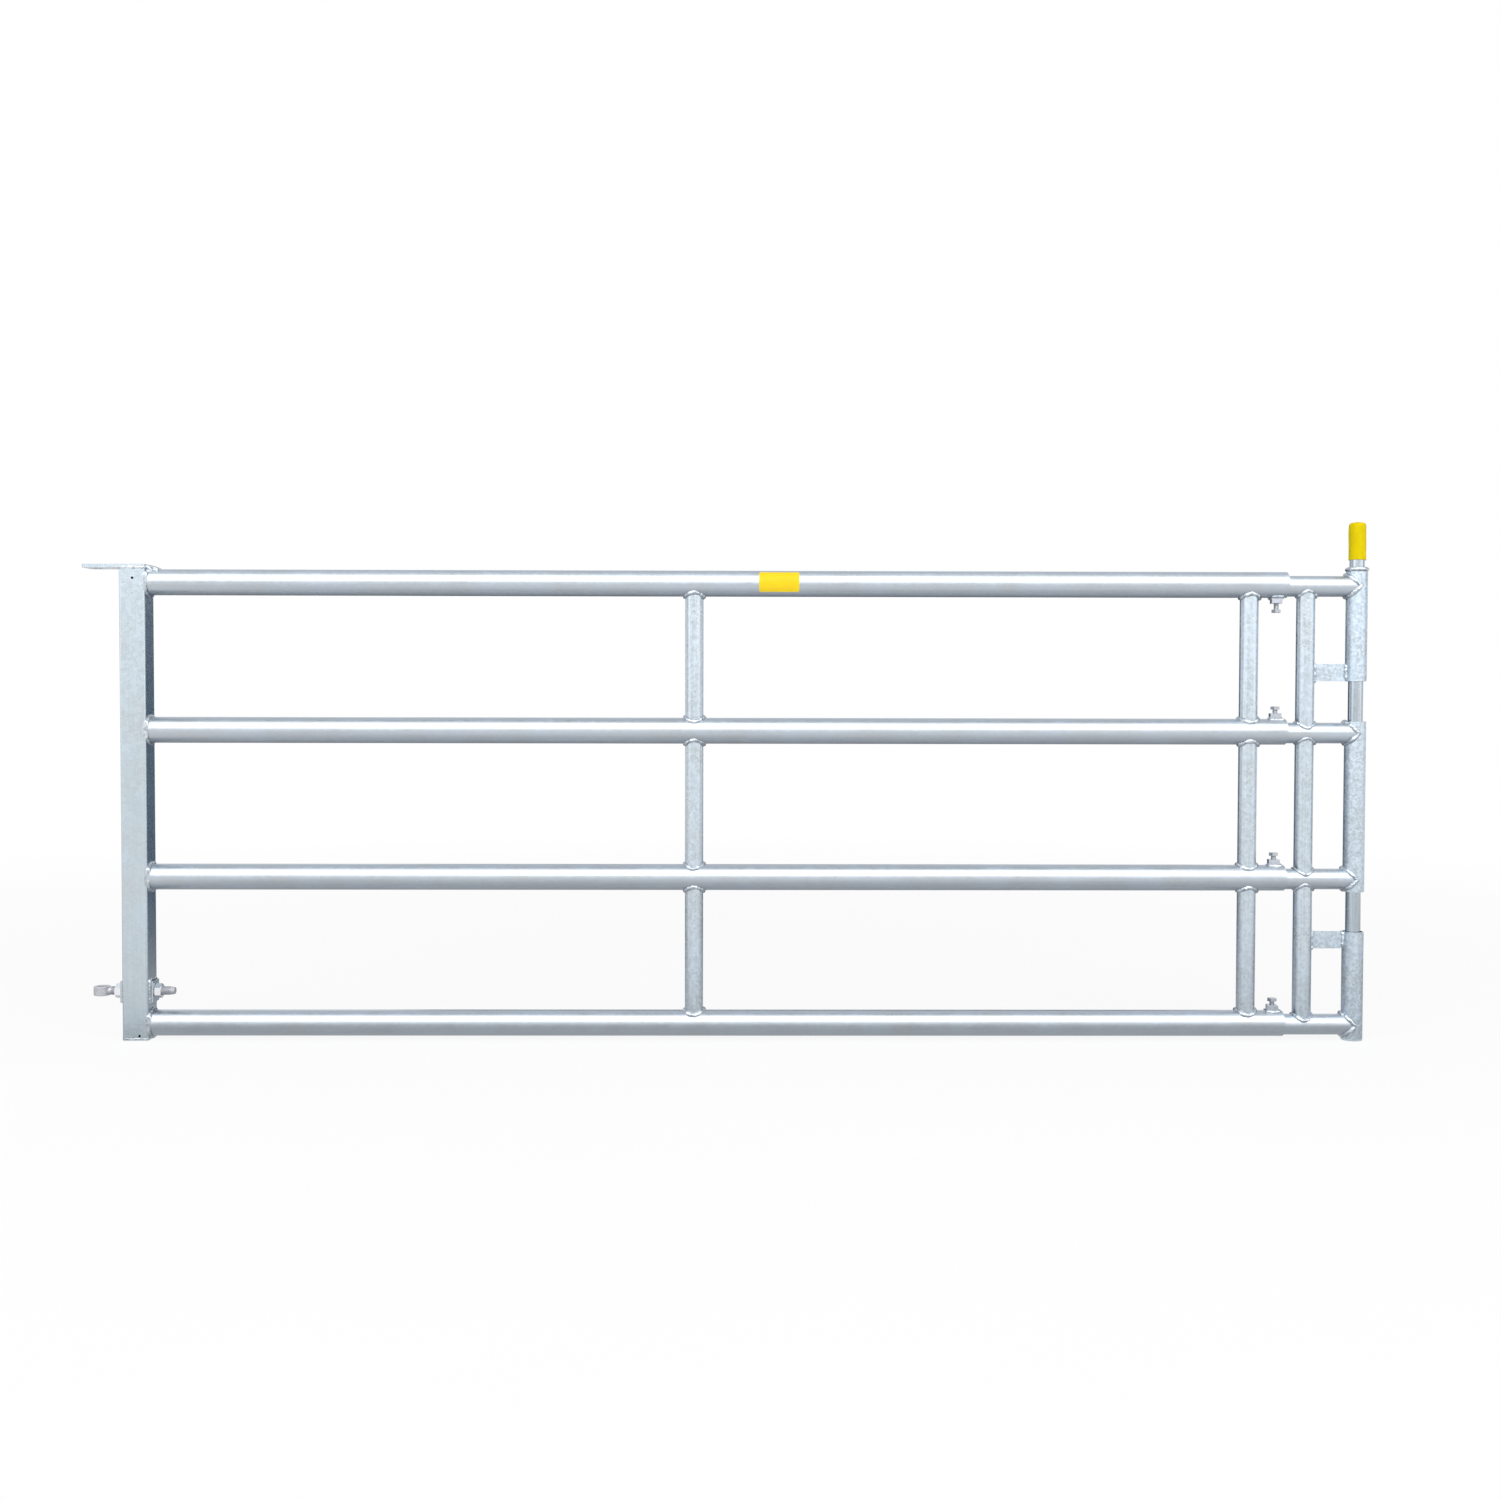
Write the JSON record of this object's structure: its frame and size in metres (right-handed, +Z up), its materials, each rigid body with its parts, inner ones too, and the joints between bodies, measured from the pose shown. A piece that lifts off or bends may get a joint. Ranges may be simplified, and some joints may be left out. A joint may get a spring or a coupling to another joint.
{
  "type": "telescoping field gate",
  "caption": "Telescoping galvanised tube field gate on a square hinge post, with a clamped sliding extension frame and a lift-up latch rod with a soft grip at the free end.",
  "frame": {"origin": "on the hinge axis, at the middle of the pin hole in the upper hinge plate", "axes": "+X along the rails from the hinge to the latch, +Y from the front to the back, +Z up the hinge axis"},
  "size_m": [2.9812, 0.0606, 1.212],
  "materials": {
    "galvanised": "hot-dip zinc, smooth",
    "galvanised_matt": "hot-dip zinc, matt and mottled",
    "weld": "zinc over a weld bead",
    "bolt_steel": "dull zinc over steel",
    "zinc_nut": "bright zinc",
    "grip": "dipped soft plastic",
    "sticker": "plain film"
  },
  "bodies": {
    "main_frame": {"hinge_post": "galvanised", "post_foot_cap": "galvanised", "upper_hinge_plate": "galvanised", "hinge_doubler_outer": "galvanised", "hinge_doubler_inner": "galvanised", "rail_top": "galvanised", "rail_upper": "galvanised", "rail_lower": "galvanised", "rail_bottom": "galvanised", "centre_strut_top": "galvanised", "centre_strut_middle": "galvanised", "centre_strut_bottom": "galvanised", "end_strut_top": "galvanised", "end_strut_middle": "galvanised", "end_strut_bottom": "galvanised", "clamp_nut_top": "galvanised_matt", "clamp_nut_upper": "galvanised_matt", "clamp_nut_lower": "galvanised_matt", "clamp_nut_bottom": "galvanised_matt", "post_welds": "weld", "centre_strut_welds": "weld", "end_strut_welds": "weld", "rail_sticker": "sticker"},
    "sliding_frame": {"slide_rail_top": "galvanised", "slide_rail_upper": "galvanised", "slide_rail_lower": "galvanised", "slide_rail_bottom": "galvanised", "slide_strut_top": "galvanised_matt", "slide_strut_middle": "galvanised_matt", "slide_strut_bottom": "galvanised_matt", "latch_tube_upper": "galvanised_matt", "latch_tube_middle": "galvanised_matt", "latch_tube_lower": "galvanised_matt", "latch_brace_upper": "galvanised_matt", "latch_brace_lower": "galvanised_matt", "slide_strut_welds": "weld", "latch_tube_welds": "weld"},
    "latch_rod": {"latch_rod_upper": "galvanised", "latch_rod_lower": "galvanised", "latch_core_bar": "bolt_steel", "latch_plug_discs": "bolt_steel", "latch_stop_ring": "galvanised_matt", "latch_grip": "grip"},
    "clamp_screw_top": {"clamp_screw_top": "bolt_steel"},
    "clamp_screw_upper": {"clamp_screw_upper": "bolt_steel"},
    "clamp_screw_lower": {"clamp_screw_lower": "bolt_steel"},
    "clamp_screw_bottom": {"clamp_screw_bottom": "bolt_steel"},
    "hinge_eye_bolt": {"hinge_eye_bolt": "bolt_steel"},
    "hinge_nut_outer": {"hinge_nut_outer": "zinc_nut"},
    "hinge_nut_inner": {"hinge_nut_inner": "zinc_nut"}
  },
  "joints": [
    {"name": "extension_slide", "type": "slide", "parent": "main_frame", "child": "sliding_frame", "axis": [1, 0, 0], "range_m": [-0.02, 1]},
    {"name": "latch_lift", "type": "slide", "parent": "sliding_frame", "child": "latch_rod", "axis": [0, 0, 1], "range_m": [0, 0.112]},
    {"name": "clamp_turn_top", "type": "hinge", "parent": "main_frame", "child": "clamp_screw_top", "pos_m": [2.738, 0, -0.036], "axis": [0, 0, -1], "range_deg": [0, 720]},
    {"name": "clamp_turn_upper", "type": "hinge", "parent": "main_frame", "child": "clamp_screw_upper", "pos_m": [2.738, 0, -0.378], "axis": [0, 0, 1], "range_deg": [0, 720]},
    {"name": "clamp_turn_lower", "type": "hinge", "parent": "main_frame", "child": "clamp_screw_lower", "pos_m": [2.738, 0, -0.72], "axis": [0, 0, 1], "range_deg": [0, 720]},
    {"name": "clamp_turn_bottom", "type": "hinge", "parent": "main_frame", "child": "clamp_screw_bottom", "pos_m": [2.738, 0, -1.062], "axis": [0, 0, 1], "range_deg": [0, 720]},
    {"name": "hinge_adjust", "type": "slide", "parent": "main_frame", "child": "hinge_eye_bolt", "axis": [-1, 0, 0], "range_m": [-0.005, 0.015]},
    {"name": "hinge_nut_turn", "type": "hinge", "parent": "main_frame", "child": "hinge_nut_outer", "pos_m": [0.041, 0, -0.987], "axis": [1, 0, 0], "range_deg": [-721, 2161]},
    {"name": "hinge_lock_nut_turn", "type": "hinge", "parent": "main_frame", "child": "hinge_nut_inner", "pos_m": [0.133, 0, -0.987], "axis": [1, 0, 0], "range_deg": [-721, 2161]}
  ],
  "couplings": [
    {"joint": "hinge_nut_turn", "follows": "hinge_adjust", "rad_per_m": 2513.3},
    {"joint": "hinge_lock_nut_turn", "follows": "hinge_adjust", "rad_per_m": 2513.3}
  ]
}
